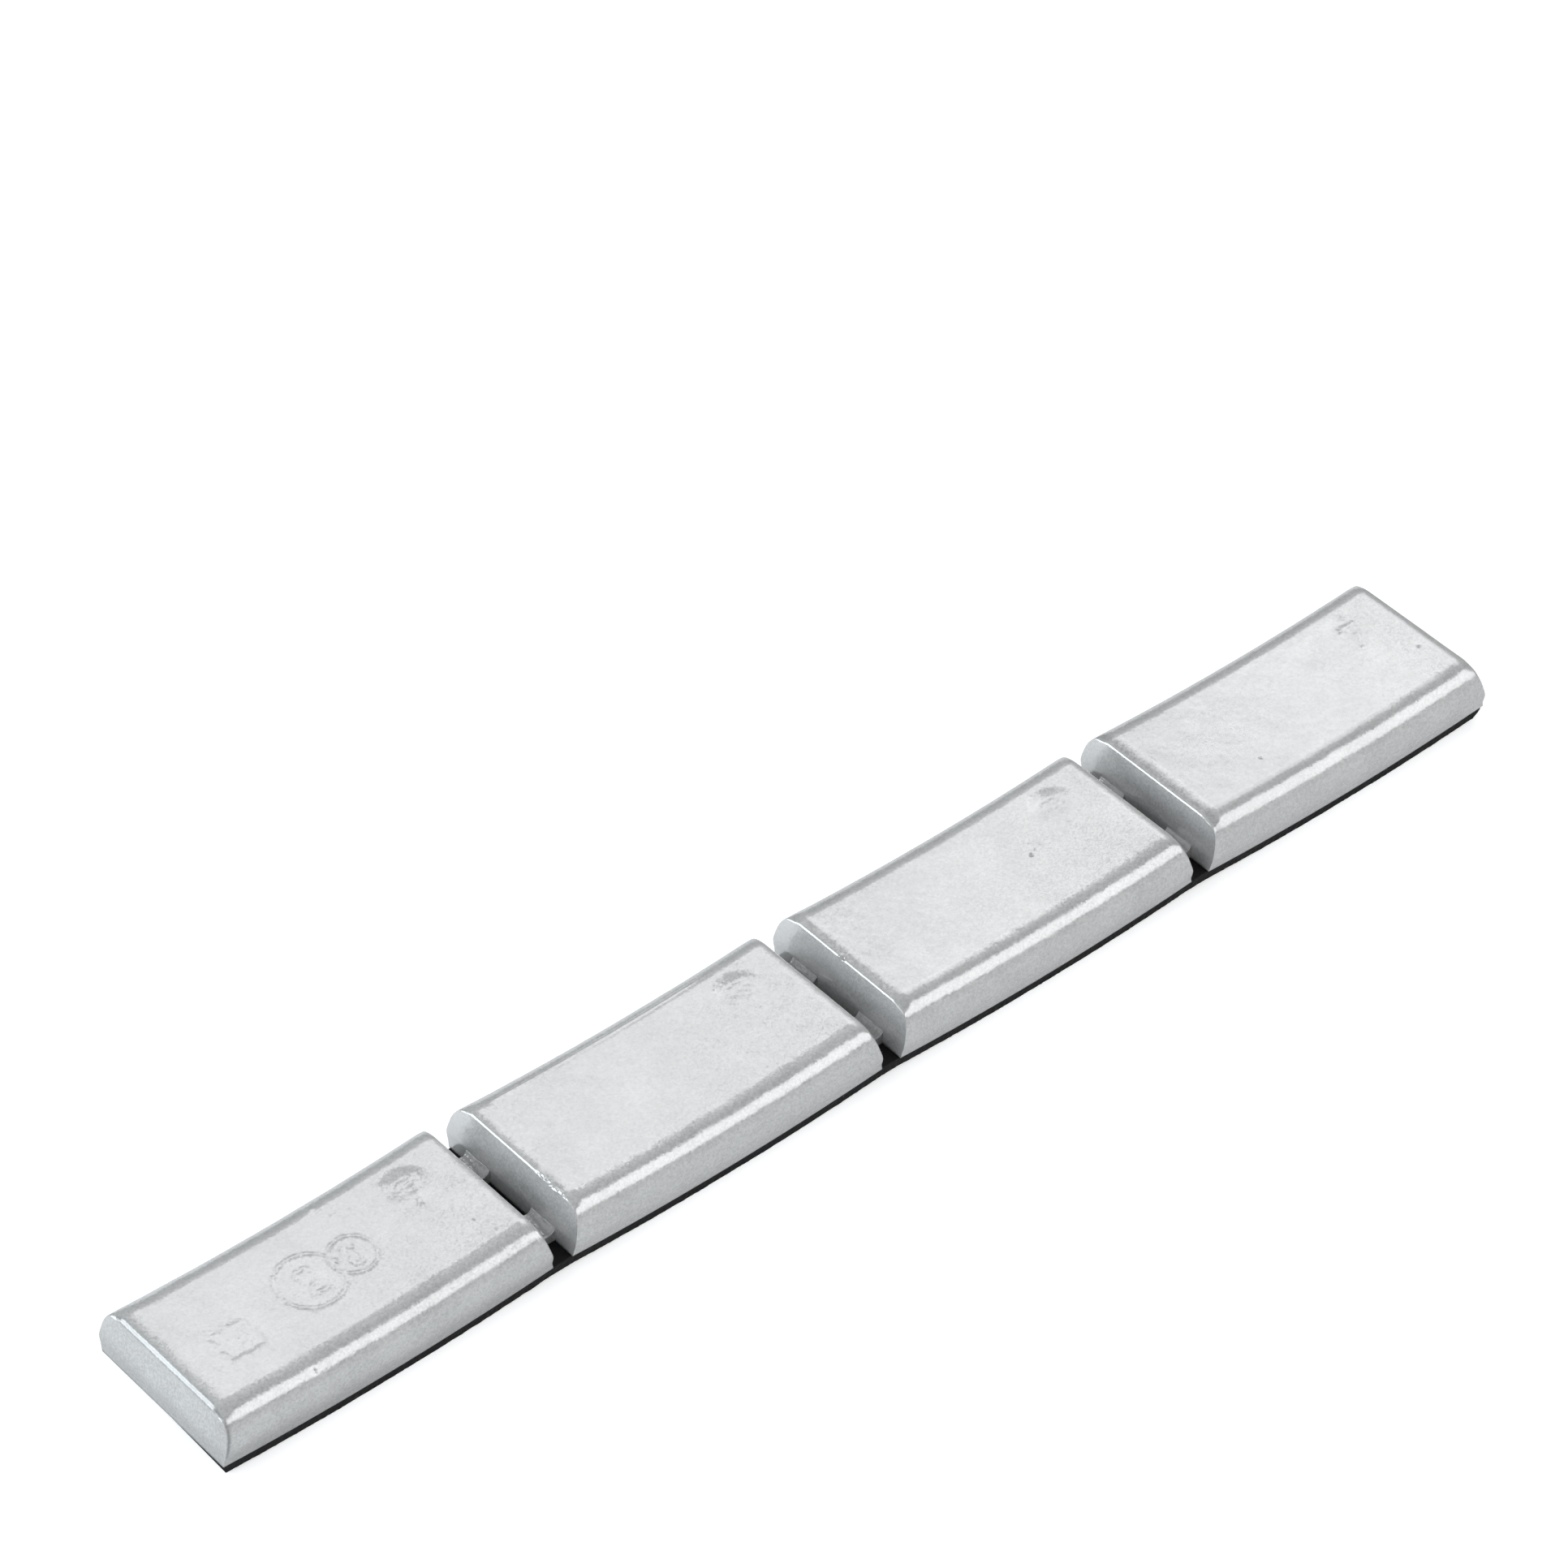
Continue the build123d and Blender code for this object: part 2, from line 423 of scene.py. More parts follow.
class FinishSettings(PropertyGroup):
    """Colours and grain of the finishes."""

    paint_light: colour_setting(
        "Paint, light flakes", "Lighter colour of the silver paint", (0.735, 0.735, 0.74)
    )
    paint_dark: colour_setting(
        "Paint, dark flakes", "Darker colour of the silver paint", (0.50, 0.502, 0.508)
    )
    # Colour of the painted shade in the gaps, crease and pits and low on the first block
    shade_colour: colour_setting("Grime", "Colour where the paint is thinnest", (0.10, 0.10, 0.105))
    paint_metallic: share_setting("Paint metallic", "How far the paint mirrors like metal", 0.4)
    paint_roughness: share_setting("Paint roughness", "Mean roughness of the paint", 0.2)
    flake_size: length_setting("Flake size", "Of the paint's flakes", 0.16)
    grain_size: length_setting("Grain size", "Of the paint's grain", 0.3)
    foam_colour: colour_setting("Foam", "Colour of the foam", (0.008, 0.008, 0.009))
    fibre_colour: colour_setting("Fibres", "Colour of the scuffs on the cut foam", (0.12, 0.125, 0.13))
    cell_size: length_setting("Cell size", "Of the foam", 0.16)


class StageSettings(PropertyGroup):
    """Camera, floor and light."""

    azimuth: angle_setting("Azimuth", "Of the camera, from the front", -40.44)
    elevation: angle_setting("Elevation", "Of the camera", 42.56)
    roll: angle_setting("Roll", "Of the camera, clockwise", -0.19)
    distance: length_setting("Distance", "Of the camera, along its axis", 572.4)
    aim_left: length_setting("Aim left", "The camera's axis passes left of the aim point", 3.85)
    aim_above: length_setting("Aim above", "The camera's axis passes above the aim point", 20.35)
    lens: FloatProperty(name="Lens", description="Focal length", default=150.45, unit="CAMERA")
    floor_colour: colour_setting("Floor", "Colour of the floor", (0.75, 0.76, 0.77))
    floor_lift: share_setting("Floor lift", "White added to what the camera sees of the floor", 0.6)
    room_light: light_setting("Room", "Even light from all round", 0.3)
    room_colour: colour_setting("Room colour", "Colour of the light from all round", (1.0, 1.0, 0.995))
    cool_colour: colour_setting(
        "Cool lamps", "Colour of the left lamp and the side lamp", (0.89, 0.97, 1.0)
    )
    back_glow: light_setting("Back glow", "Soft light around the back lamp", 0.3)
    low_glow: light_setting("Low glow", "Soft light low down in front and on the left", 0.45)
    back_lamp: power_setting("Back lamp", "Power of the strip lamp behind, on the right", 0.52)
    upper_lamp: power_setting("Upper lamp", "Power of the lamp beside the strip lamp", 0.23)
    front_lamp: power_setting("Front lamp", "Power of the lamp in front, on the right", 0.76)
    left_lamp: power_setting("Left lamp", "Power of the lamp behind, on the left", 3.3)
    side_lamp: power_setting("Side lamp", "Power of the high lamp beyond the first end", 0.7)


class WeightSettings(PropertyGroup):
    """All settings of the balance weight."""

    casting: PointerProperty(type=CastingSettings)
    webs: PointerProperty(type=WebSettings)
    tape: PointerProperty(type=TapeSettings)
    finish: PointerProperty(type=FinishSettings)
    stage: PointerProperty(type=StageSettings)


# Shapes


def of_number(values, number):
    """A block's or a gap's own value in a list, which starts again when the row is longer."""
    return values[number % len(values)]


def flaws_of(table, number):
    """The rows of a table of flaws that are on one block, in metres."""
    return np.array(table.get(number, ())) * MM


def smoothstep(low, high, value):
    """0 below low, 1 above high, and 3 t squared less 2 t cubed between them."""
    t = np.clip((value - low) / (high - low), 0.0, 1.0)
    return t * t * (3.0 - 2.0 * t)


def falling(low, high, value):
    """1 below low, 0 above high, and 1 less the smooth step between them."""
    return 1.0 - smoothstep(low, high, value)


def stretch(places, value):
    """A smooth step up between the first two of four places, times one down between the last two."""
    return smoothstep(*places[:2], value) * falling(*places[2:], value)


def bell(distance, width):
    """1 at no distance, falling as a bell curve to a little over a third at half the width."""
    return np.exp(-((2.0 * distance / width) ** 2))


def spot(along, across, centre, radius):
    """Bell curve of the distance to a place on a block's top, twice the radius wide."""
    return bell(np.hypot(along - centre[0], across - centre[1]), 2.0 * radius)


def smooth_less(first, second, softness):
    """The lesser of two values, with the corner where they cross rounded.

    It is half of: their sum less the root of their squared difference plus the squared softness.
    """
    return 0.5 * (first + second - np.sqrt((first - second) ** 2 + softness**2))


def ripple(points, wavelength, seed, waves=24):
    """Smooth unevenness about 0: the sum of sine waves of about one length in random directions."""
    rng = np.random.default_rng(seed)
    direction = rng.normal(size=(waves, 3))
    direction /= np.linalg.norm(direction, axis=1)[:, None]
    direction *= (2.0 * np.pi / wavelength * rng.uniform(*WAVE_SPREAD, waves))[:, None]
    phase = rng.uniform(0.0, 2.0 * np.pi, waves)
    return np.sin(points @ direction.T + phase).sum(axis=-1) * math.sqrt(2.0 / waves)


def unevenness(points, waves, number=0):
    """Sum of ripples, each times its share, with a block's or a gap's number added to the seeds."""
    return sum(share * ripple(points, wavelength, seed + number) for share, wavelength, seed in waves)


def rounded_outline(corners, radii, run_steps, arc_steps):
    """Closed outline with round corners, counter-clockwise, as points and outward normals.

    At each corner an arc touches both sides, at the radius over the tangent of half the corner's angle from
    the corner. Each straight run, from one arc to the next, is divided evenly.
    """
    corners = np.asarray(corners, float)
    radii = np.asarray(radii, float)
    before = np.roll(corners, 1, axis=0) - corners
    after = np.roll(corners, -1, axis=0) - corners
    before /= np.linalg.norm(before, axis=1)[:, None]
    after /= np.linalg.norm(after, axis=1)[:, None]
    half = np.arccos((before * after).sum(axis=1)) / 2.0
    touch = (radii / np.tan(half))[:, None]
    starts = corners + before * touch
    ends = corners + after * touch
    inward = before + after
    inward /= np.linalg.norm(inward, axis=1)[:, None]
    centres = corners + inward * (radii / np.sin(half))[:, None]
    first = np.arctan2(*(starts - centres).T[::-1])
    points = []
    normals = []
    for i, (run, arc) in enumerate(zip(run_steps, arc_steps)):
        angle = first[i] + (np.pi - 2.0 * half[i]) * np.linspace(0.0, 1.0, arc + 1)
        normal = np.stack([np.cos(angle), np.sin(angle)], axis=1)
        points.append(centres[i] + radii[i] * normal)
        normals.append(normal)
        way = starts[(i + 1) % len(corners)] - ends[i]
        points.append(ends[i] + way * np.linspace(0.0, 1.0, run + 1)[1:-1, None])
        across = np.array([way[1], -way[0]]) / np.linalg.norm(way)
        normals.append(np.broadcast_to(across, (run - 1, 2)))
    return np.concatenate(points), np.concatenate(normals)


def bar_outline(half, height, radii, run_steps, arc_steps):
    """Outline of a flat bar that stands on its underside, with round corners."""
    corners = [(-half, 0.0), (half, 0.0), (half, height), (-half, height)]
    return rounded_outline(corners, radii, run_steps, arc_steps)


def ring_mesh(name, shells):
    """Closed mesh from shells of rings: quads join each ring to the next, and a fan closes each end.

    Each shell is an array of rings by points in a ring by three, with its rings counter-clockwise about the
    way they follow each other. A fan runs from an end's ring to the middle of that ring.
    """
    points = []
    quads = []
    fans = []
    used = 0
    for rings in shells:
        count, around = rings.shape[:2]
        total = count * around
        index = used + np.arange(total).reshape(count, around)
        here, ahead = index[:-1], index[1:]
        quad = np.stack([here, np.roll(here, -1, axis=1), np.roll(ahead, -1, axis=1), ahead], axis=-1)
        first, last = index[0], index[-1]
        first_pole = np.full(around, used + total)
        last_pole = np.full(around, used + total + 1)
        points += [rings.reshape(-1, 3), rings[[0, -1]].mean(axis=1)]
        quads.append(quad.reshape(-1, 4))
        fans.append(np.stack([np.roll(first, -1), first, first_pole], axis=1))
        fans.append(np.stack([last, np.roll(last, -1), last_pole], axis=1))
        used += total + 2
    points = np.concatenate(points)
    quads = np.concatenate(quads)
    fans = np.concatenate(fans)
    corners = np.concatenate([quads.ravel(), fans.ravel()])
    starts = np.concatenate([np.arange(len(quads)) * 4, quads.size + np.arange(len(fans)) * 3])
    mesh = bpy.data.meshes.new(name)
    mesh.vertices.add(len(points))
    mesh.vertices.foreach_set("co", points.astype(np.float32).ravel())
    mesh.loops.add(len(corners))
    mesh.loops.foreach_set("vertex_index", corners.astype(np.int32))
    mesh.polygons.add(len(starts))
    mesh.polygons.foreach_set("loop_start", starts.astype(np.int32))
    mesh.polygons.foreach_set("use_smooth", np.ones(len(starts), bool))
    mesh.update(calc_edges=True)
    if mesh.validate():
        raise ValueError(f"{name}: the mesh has faces that don't hold together")
    return mesh


def add_painted_shade(mesh, shells):
    """Stores the painted shade of a mesh's shells with its points, in ring_mesh's order of points.

    The middle of each end takes the mean of the ring round it.
    """
    values = [np.append(grime.ravel(), (grime[0].mean(), grime[-1].mean())) for grime in shells]
    values = np.concatenate(values).astype(np.float32)
    mesh.attributes.new(SHADE_ATTRIBUTE, "FLOAT", "POINT").data.foreach_set("value", values)


def block_section(casting):
    """A block's section with its long edges round: points (across, up) and outward normals."""
    foot = casting.block_width / 2.0 - casting.side_tuck
    wide = casting.block_width / 2.0
    rise = casting.block_height - casting.parting_height
    top = wide - rise * math.tan(casting.side_draft)
    corners = [
        (-foot, 0.0),
        (foot, 0.0),
        (wide, casting.parting_height),
        (top, casting.block_height),
        (-top, casting.block_height),
        (-wide, casting.parting_height),
    ]
    foot_round, parting, top_round = casting.foot_round, casting.parting_round, casting.top_round
    radii = [foot_round, foot_round, parting, top_round, top_round, parting]
    return rounded_outline(corners, radii, BLOCK_RUNS, BLOCK_ARCS)


def end_reach(casting, height):
    """How far an end face stands from the middle of its block.

    It leans out from the underside to the parting line, which is soft, and back in above it.
    """
    half = casting.block_length / 2.0
    below = half - casting.end_tuck * (1.0 - height / casting.parting_height)
    above = half - (height - casting.parting_height) * math.tan(casting.end_draft)
    return smooth_less(below, above, PARTING_SOFTNESS)


def first_reach(casting, number, height):
    """How far a block's first end stands from its middle: as any end, but set in towards its top."""
    set_in = of_number(FIRST_SET_IN, number)
    return end_reach(casting, height) - set_in * smoothstep(*SET_IN_HEIGHTS, height)


def figure_two():
    """Points of a plain figure two, 1 high: a bow of a little over half a circle, a slant and a foot."""
    radius = 0.27
    angle = np.radians(np.linspace(165.0, -35.0, 12))
    bow = np.stack([radius * np.cos(angle), 0.5 - radius + radius * np.sin(angle)], axis=1)
    return np.concatenate([bow, [(-radius, -0.5), (radius, -0.5)]])


def figure_seven():
    """Points of a plain figure seven, 1 high: along the top and slanting down to the foot."""
    return np.array([(-0.3, 0.5), (0.3, 0.5), (-0.12, -0.5)])


def figure_nought():
    """Points of a plain nought, 1 high: an ellipse a little over half as wide as it is high."""
    angle = np.linspace(0.0, 2.0 * np.pi, 25)
    return np.stack([0.28 * np.cos(angle), 0.5 * np.sin(angle)], axis=1)


def raised_figure(along, across, figure, centre, height, width):
    """Raised line of a figure: the bell curve of the distance to the nearest of its straight pieces."""
    line = figure * height + np.asarray(centre)
    nearest = np.full(along.shape, np.inf)
    for (x0, y0), (x1, y1) in zip(line[:-1], line[1:]):
        dx, dy = x1 - x0, y1 - y0
        share = np.clip(((along - x0) * dx + (across - y0) * dy) / (dx * dx + dy * dy), 0.0, 1.0)
        nearest = np.minimum(nearest, np.hypot(along - x0 - share * dx, across - y0 - share * dy))
    return bell(nearest, width)


def ring_line(along, across, centre, radius, width):
    """Raised line along a circle: the bell curve of the distance to it."""
    return bell(np.hypot(along - centre[0], across - centre[1]) - radius, width)


def two_rings(along, across, width):
    """Raised lines along the first block's two rings."""
    large = ring_line(along, across, LARGE_RING, LARGE_RING_RADIUS, width)
    small = ring_line(along, across, SMALL_RING, SMALL_RING_RADIUS, width)
    return np.maximum(large, small)


def plate_edge(along, across):
    """Distance outside the edge of the sunk plate, a square with round corners, and below 0 inside it."""
    dx = np.abs(along - PLATE[0]) - (PLATE_HALF - PLATE_ROUND)
    dy = np.abs(across - PLATE[1]) - (PLATE_HALF - PLATE_ROUND)
    outside = np.hypot(np.maximum(dx, 0.0), np.maximum(dy, 0.0))
    return outside + np.minimum(np.maximum(dx, dy), 0.0) - PLATE_ROUND


def top_relief(casting, number, along, across):
    """Height of the cast marks and the pits over a block's top, in metres.

    The recess falls to its full depth at the back and to none at the front. The lines and figures are worn
    away in patches. Fine ripples roughen the skin in patches, and a pit is a bell curve of the distance to
    its middle.
    """
    spots = np.stack(np.broadcast_arrays(along, across, 0.0), axis=-1)
    wear = ripple(spots, WEAR_WAVE, WEAR_SEED + number)
    left = WORN_SHARE + (1.0 - WORN_SHARE) * smoothstep(*WEAR_LEVELS, wear)
    distance = np.hypot(along - RECESS[0], across - RECESS[1])
    towards_back = smoothstep(*RECESS_DEEPENS, (across - RECESS[1]) / RECESS_RADIUS)
    sunk = falling(RECESS_RADIUS - RECESS_WALL, RECESS_RADIUS, distance)
    relief = -casting.recess_depth * of_number(RECESS_DEPTH, number) * towards_back * sunk
    seven = raised_figure(along, across, figure_seven(), FIGURE_PLACE, *RECESS_FIGURE)
    relief += casting.mark_height * of_number(FIGURE_LEFT, number) * left * seven
    if number == 0:
        two = raised_figure(along, across, figure_two(), LARGE_RING, *LARGE_FIGURE)
        nought = raised_figure(along, across, figure_nought(), SMALL_RING, *SMALL_FIGURE)
        raised = np.maximum(two_rings(along, across, RING_WIDTH), np.maximum(two, nought))
        relief += casting.mark_height * left * raised
        edge = plate_edge(along, across) + PLATE_SWAY * ripple(spots, PLATE_SWAY_WAVE, PLATE_SEED)
        relief -= PLATE_DEPTH * casting.mark_height * falling(-PLATE_WALL, 0.0, edge)
    if number == casting.block_count - 1:
        ring = ring_line(along, across, FAINT_RING, FAINT_RING_RADIUS, FAINT_RING_WIDTH)
        relief -= FAINT_RING_DEPTH * casting.mark_height * ring
    rough = np.zeros(along.shape)
    for *centre, radius in flaws_of(ROUGH_PATCHES, number):
        rough = np.maximum(rough, spot(along, across, centre, radius))
    relief += casting.skin_roughness * rough * ripple(spots, SKIN_WAVE, SKIN_SEED + number)
    for *centre, radius, depth in flaws_of(PITS, number):
        relief -= depth * spot(along, across, centre, radius)
    return relief


def corner_crease(casting, along, across, up):
    """1 along the crease at the very first end's front corner, falling off beside it as a bell curve.

    Its line sways as a sine of the height.
    """
    from_end = along + end_reach(casting, up)
    line = CREASE_PLACE + CREASE_SWAY * np.sin((up - CREASE_SWAY_LEVEL) / CREASE_SWAY_LENGTH)
    there = stretch(CREASE_STRETCH, up) * (across < CREASE_FRONT)
    return there * bell(from_end - line, CREASE_WIDTH)


def painted_shade_share(casting, number, points):
    """How much painted shade lies on the paint, up to 1, and below 0 where painted light lies instead.

    Painted shade lies on the first ends in the gaps, on the roll-off before them and in the pits. On the
    first block it also lies in dots along the cast lines, in the crease, on the first rim, dimming its
    highlight, and low down. On the other blocks painted light lies at the back of the first end.
    """
    along, across, up = np.moveaxis(points, -1, 0)
    on_top = up > TOP_LEVEL
    from_end = along + first_reach(casting, number, up)
    on_end = (from_end < END_SKIN) * falling(*END_TOP, up)
    in_gap = on_end * stretch(END_SHADE_STRETCH, up) * falling(*END_SHADE_ACROSS, across)
    rolled = stretch(ROLL_SHADE_STRETCH, from_end) * on_top
    grime = of_number(END_SHADE, number) * in_gap + of_number(ROLL_SHADE, number) * rolled
    for *centre, radius, _ in flaws_of(PITS, number):
        grime = np.maximum(grime, PIT_SHADE * spot(along, across, centre, radius) * on_top)
    if number > 0:
        return grime - BACK_PAINTED_LIGHT * on_end * smoothstep(*BACK_PAINTED_LIGHT_ACROSS, across)
    edge = bell(plate_edge(along, across), PLATE_SHADE_WIDTH)
    lines = np.maximum(two_rings(along, across, LINE_SHADE_WIDTH), edge)
    dots = smoothstep(*DOT_LEVELS, ripple(points, DOT_WAVE, DOT_SEED)) * on_top
    on_rim = smoothstep(*RIM_SHADE_HEIGHTS, up) * falling(*RIM_SHADE_REACH, from_end)
    grime = np.maximum(grime, LINE_SHADE * lines * dots)
    grime = np.maximum(grime, CREASE_SHADE * corner_crease(casting, along, across, up))
    grime = np.maximum(grime, RIM_SHADE * on_rim)
    return np.maximum(grime, LOW_SHADE * falling(*LOW_SHADE_HEIGHTS, up))


def flaw_relief(casting, number, points):
    """Height of the burrs, nicks, ridge, ragged rim and crease of a block, outwards, in metres.

    A burr is a bell curve of the distance to its middle. The ridge and the crease are bell curves across
    their line. The ragged rim is waves along the rim.
    """
    along, across, up = np.moveaxis(points, -1, 0)
    relief = np.zeros(along.shape)
    for *middle, width, height in flaws_of(BURRS, number):
        relief += height * bell(np.linalg.norm(points - np.array(middle), axis=-1), width)
    if number == RIDGE_BLOCK:
        there = stretch(RIDGE_STRETCH, along) * (up > TOP_LEVEL)
        relief += RIDGE_HEIGHT * there * bell(across - RIDGE_ACROSS - RIDGE_SLANT * along, RIDGE_WIDTH)
    if number == RAGGED_BLOCK:
        there = stretch(RAGGED_STRETCH, across) * smoothstep(*RAGGED_LEVELS, up)
        there = there * bell(along - RAGGED_ALONG, RAGGED_WIDTH)
        relief += RAGGED_HEIGHT * there * ripple(points, RAGGED_WAVE, RAGGED_SEED)
    if number == 0:
        relief -= CREASE_DEPTH * corner_crease(casting, along, across, up)
    return relief


def end_rings(rim):
    """Rings of a block's end, from the middle of the end face inwards.

    Gives their distance from the end, the turn of the rim, which is a quarter circle, and their size over
    that of the end face.
    """
    quarter = np.linspace(0.5 * np.pi, 0.0, RIM_RINGS)
    turn = np.concatenate([np.full(FACE_RINGS, 0.5 * np.pi), quarter, np.zeros(ZONE_RINGS)])
    zone = np.linspace(rim, END_ZONE, ZONE_RINGS + 1)[1:]
    back = np.concatenate([np.zeros(FACE_RINGS), rim * (1.0 - np.sin(quarter)), zone])
    face = np.linspace(FACE_MIDDLE, 1.0, FACE_RINGS, endpoint=False)
    shrink = np.concatenate([face, np.ones(RIM_RINGS + ZONE_RINGS)])
    return np.stack([back, turn, shrink])


def roll_drop(back, start, full, slope):
    """How far the top falls before an end: a parabola from its start to its full slope, then straight."""
    ramp = np.clip((start - back) / (start - full), 0.0, 1.0)
    straight = np.maximum(full - back, 0.0)
    return math.tan(math.radians(slope)) * (0.5 * (start - full) * ramp**2 + straight)


def bent(casting, tape, number, points):
    """The points of a block, bent about an axis above it and put into its place in the row.

    A point at height h and place s along goes to the angle s over the bend radius, at the bend radius less
    h from the axis.
    """
    along, across, up = np.moveaxis(points, -1, 0)
    angle = along / casting.bend_radius
    reach = casting.bend_radius - up
    middle_x = (number - (casting.block_count - 1) / 2.0) * casting.block_pitch
    x = middle_x + reach * np.sin(angle)
    z = tape.thickness + casting.bend_radius - reach * np.cos(angle)
    return np.stack([x, across, z], axis=-1)


def block_rings(casting, tape, number):
    """Rings of one block, from the middle of its first end to the middle of its last, and its painted
    shade.

    The section is carried along the block. Towards an end its top rolls off, then it turns through the
    quarter circle of the rim, which has its own share down the corners, into the end face, and there it
    shrinks to the middle. Marks, flaws and waves lift the paint along the surface's own normal. Last the
    block is bent.
    """
    outline, normal = block_section(casting)
    first_rim = FIRST_RIM if number == 0 else casting.rim_round
    first = end_rings(first_rim)
    last = end_rings(casting.rim_round)[:, ::-1]
    middle = np.zeros((3, MIDDLE_RINGS))
    middle[0] = END_ZONE
    middle[2] = 1.0
    inner = np.linspace(-1.0, 1.0, MIDDLE_RINGS + 2)[1:-1]
    side = np.concatenate([-np.ones(first.shape[1]), inner, np.ones(last.shape[1])])[:, None]
    back, turn, shrink = np.concatenate([first, middle, last], axis=1)[..., None]

    upper = smoothstep(0.0, FOOT_FADE, outline[:, 1])
    widest = np.where(side < 0.0, first_rim, casting.rim_round)
    corner_share = np.where(side < 0.0, *CORNER_SHARE)
    rim = widest * (corner_share + (1.0 - corner_share) * smoothstep(*RIM_FACING, normal[:, 1]))
    inner_back = rim + (back - widest) * (END_ZONE - rim) / (END_ZONE - widest)
    back = np.where(back < widest, back * rim / widest, inner_back)
    first_roll = roll_drop(back, *of_number(FIRST_ROLLS, number))
    roll = np.where(side < 0.0, first_roll, roll_drop(back, *LAST_ROLL))
    side_roll = np.where(side < 0.0, *SIDE_ROLL)
    roll = roll * (side_roll + (1.0 - side_roll) * smoothstep(*ROLL_FACING, normal[:, 1]))
    inset = roll * upper + rim * (1.0 - np.cos(turn)) * upper
    across = (outline[:, 0] - inset * normal[:, 0]) * shrink
    up = outline[:, 1] - inset * normal[:, 1]
    centre_up = 0.5 * casting.block_height
    up = centre_up + (up - centre_up) * shrink
    end = np.where(side < 0.0, first_reach(casting, number, up), end_reach(casting, up))
    along = side * (end - back)

    points = np.stack([along, across, up], axis=-1)
    # Painted shade and painted light on the block's paint
    grime = painted_shade_share(casting, number, points)
    lift = top_relief(casting, number, along, across) * smoothstep(*MARK_FACING, normal[:, 1])
    lift = lift + flaw_relief(casting, number, points)
    lift = lift + casting.paint_wave * unevenness(points, PAINT_WAVES, number)
    lift = (lift - PAINT_INSET) * upper
    points[..., 0] += lift * np.sin(turn) * np.sign(side)
    points[..., 1] += lift * np.cos(turn) * normal[:, 0]
    points[..., 2] += lift * np.cos(turn) * normal[:, 1]
    return bent(casting, tape, number, points), grime


def foot_end(casting):
    """The end of a block's underside: how far from the block's middle and above its lowest line."""
    angle = (casting.block_length / 2.0 - casting.end_tuck) / casting.bend_radius
    return casting.bend_radius * math.sin(angle), casting.bend_radius * (1.0 - math.cos(angle))


def web_rings(casting, webs, tape, gap, side):
    """Rings of one web: a flat bar with round edges across a gap, from inside one block to the next.

    Its top flares up where it meets a block, by an exponential of the distance, and is rough.
    """
    foot_x, foot_rise = foot_end(casting)
    gap_half = casting.block_pitch / 2.0 - foot_x
    radii = [WEB_FOOT_ROUND, WEB_FOOT_ROUND, WEB_TOP_ROUND, WEB_TOP_ROUND]
    outline, normal = bar_outline(webs.width / 2.0, webs.thickness, radii, WEB_RUNS, WEB_ARCS)
    reach = gap_half + webs.root
    along = np.linspace(-reach, reach, WEB_RINGS)[:, None]
    rising = outline[:, 1] / webs.thickness
    from_block = np.maximum(gap_half - np.abs(along), 0.0)
    flare = webs.flare * np.exp(-from_block / WEB_FLARE_LENGTH) * rising
    points = np.stack(np.broadcast_arrays(along, outline[:, 0], outline[:, 1] + flare), axis=-1)
    lift = webs.roughness * unevenness(points, WEB_WAVES, gap) * smoothstep(*WEB_ROUGH_FROM, rising)
    points[..., 1] += lift * normal[:, 0]
    points[..., 2] += lift * normal[:, 1]
    middle_x = (gap + 1 - casting.block_count / 2.0) * casting.block_pitch
    return points + np.array([middle_x, side * webs.spread / 2.0, tape.thickness + foot_rise])


def tape_height(casting, radius, half, x):
    """Height of a face of the tape over its lowest line: an arc under each block, level across the gaps."""
    count, pitch = casting.block_count, casting.block_pitch
    nearest = np.clip(np.round(x / pitch + (count - 1) / 2.0), 0, count - 1) - (count - 1) / 2.0
    from_middle = np.minimum(np.abs(x - nearest * pitch), half)
    return radius - np.sqrt(radius**2 - from_middle**2)


def tape_rings(casting, tape):
    """Rings of the tape: a flat section carried along the strip between the faces under the blocks.

    The first end is cut askew and the lower edge of the last end is pinched. The underside is pressed flat
    where it would pass below the ground. The cut sides are uneven.
    """
    half = tape.width / 2.0
    outline, normal = bar_outline(half, tape.thickness, [tape.edge_round] * 4, TAPE_RUNS, TAPE_ARCS)
    across, up = outline.T
    foot_x, _ = foot_end(casting)
    first = TAPE_LOW.x + (across + half) * math.tan(tape.first_skew)
    pinch = np.maximum(0.0, 1.0 - up / tape.bevel_height) * tape.bevel_length
    last = TAPE_HIGH.x - pinch
    end = np.linspace(TAPE_END_MIDDLE, 1.0, TAPE_END_RINGS, endpoint=False)
    shrink = np.concatenate([end, np.ones(TAPE_RINGS), end[::-1]])[:, None]
    share = np.linspace(0.0, 1.0, TAPE_RINGS)
    share = np.concatenate([np.zeros(TAPE_END_RINGS), share, np.ones(TAPE_END_RINGS)])[:, None]

    across = across * shrink
    up = tape.thickness / 2.0 + (up - tape.thickness / 2.0) * shrink
    x = first + share * (last - first)
    below = tape_height(casting, casting.bend_radius + tape.thickness + tape.give, foot_x, x)
    below = np.maximum(below - tape.give, 0.0)
    above = tape.thickness + tape_height(casting, casting.bend_radius, foot_x, x)
    z = below + (above - below) * up / tape.thickness
    points = np.stack([x, across, z], axis=-1)
    rough = unevenness(points, TAPE_WAVES)
    lift = tape.cut_roughness * (rough - 1.0) * np.abs(normal[:, 0]) * (shrink == 1.0)
    points[..., 1] += lift * np.sign(normal[:, 0])
    return points


# Finishes


